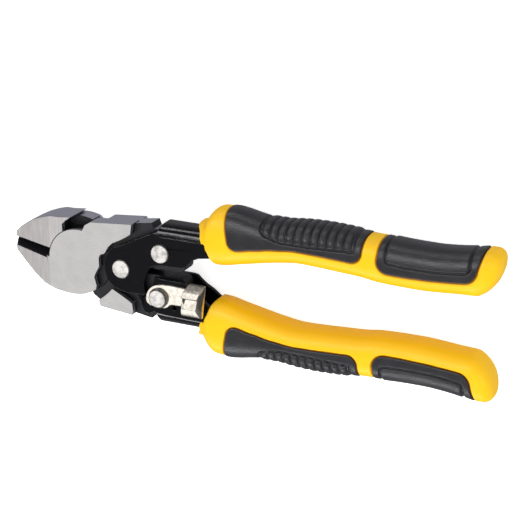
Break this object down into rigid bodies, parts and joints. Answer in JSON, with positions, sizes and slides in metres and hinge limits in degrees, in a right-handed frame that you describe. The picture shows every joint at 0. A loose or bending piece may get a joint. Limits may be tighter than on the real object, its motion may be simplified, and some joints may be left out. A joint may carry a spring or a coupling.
{
  "type": "compound-leverage diagonal cutting pliers",
  "caption": "Compound-leverage diagonal cutting pliers with stamped channel handles, two-tone grips, a return spring and a pivoting thumb latch, shown closed and latched.",
  "frame": {"origin": "on the jaw pivot axis, in the ground back face of the rear jaw", "axes": "+X from the jaws toward the handle ends, +Y toward the upper handle, +Z out of the front face where the latch sits"},
  "size_m": [0.2131, 0.0648, 0.0212],
  "materials": {
    "jaw_steel": "ground",
    "black_enamel": "gloss",
    "plated_steel": "satin",
    "spring_steel": "oiled",
    "yellow_plastic": "semi-gloss",
    "soft_pad": "matte"
  },
  "bodies": {
    "front_jaw": {"front_jaw": "jaw_steel", "jaw_pivot_pin": "jaw_steel"},
    "rear_jaw": {"rear_jaw": "jaw_steel"},
    "upper_handle": {"upper_handle_channel": "black_enamel", "handle_pivot_rivet": "plated_steel", "handle_pivot_sleeve": "spring_steel", "upper_link_rivet": "plated_steel", "upper_link_washers": "spring_steel", "return_spring": "spring_steel", "upper_grip": "yellow_plastic", "upper_front_pad": "soft_pad", "upper_rear_pad": "soft_pad"},
    "lower_handle": {"lower_handle_channel": "black_enamel", "lower_link_rivet": "plated_steel", "lower_link_washers": "spring_steel", "latch_collar": "plated_steel", "lower_grip": "yellow_plastic", "lower_front_pad": "soft_pad", "lower_rear_pad": "soft_pad"},
    "latch": {"latch": "plated_steel"}
  },
  "joints": [
    {"name": "jaw_pivot", "type": "hinge", "parent": "front_jaw", "child": "rear_jaw", "pos_m": [0, 0, 0.007], "axis": [0, 0, -1], "range_deg": [0, 13.5]},
    {"name": "upper_link_pivot", "type": "hinge", "parent": "front_jaw", "child": "upper_handle", "pos_m": [0.0386, 0.0094, 0.007], "axis": [0, 0, 1], "range_deg": [0, 8.5]},
    {"name": "handle_pivot", "type": "hinge", "parent": "upper_handle", "child": "lower_handle", "pos_m": [0.0205, 0, 0.007], "axis": [0, 0, -1], "range_deg": [0, 30], "deforming": ["return_spring"]},
    {"name": "latch_pivot", "type": "hinge", "parent": "lower_handle", "child": "latch", "pos_m": [0.0386, -0.0094, 0.007], "axis": [0, 0, 1], "range_deg": [0, 25]}
  ],
  "couplings": [
    {"joint": "jaw_pivot", "follows": "handle_pivot", "ratio": 0.444},
    {"joint": "upper_link_pivot", "follows": "handle_pivot", "ratio": 0.278}
  ]
}
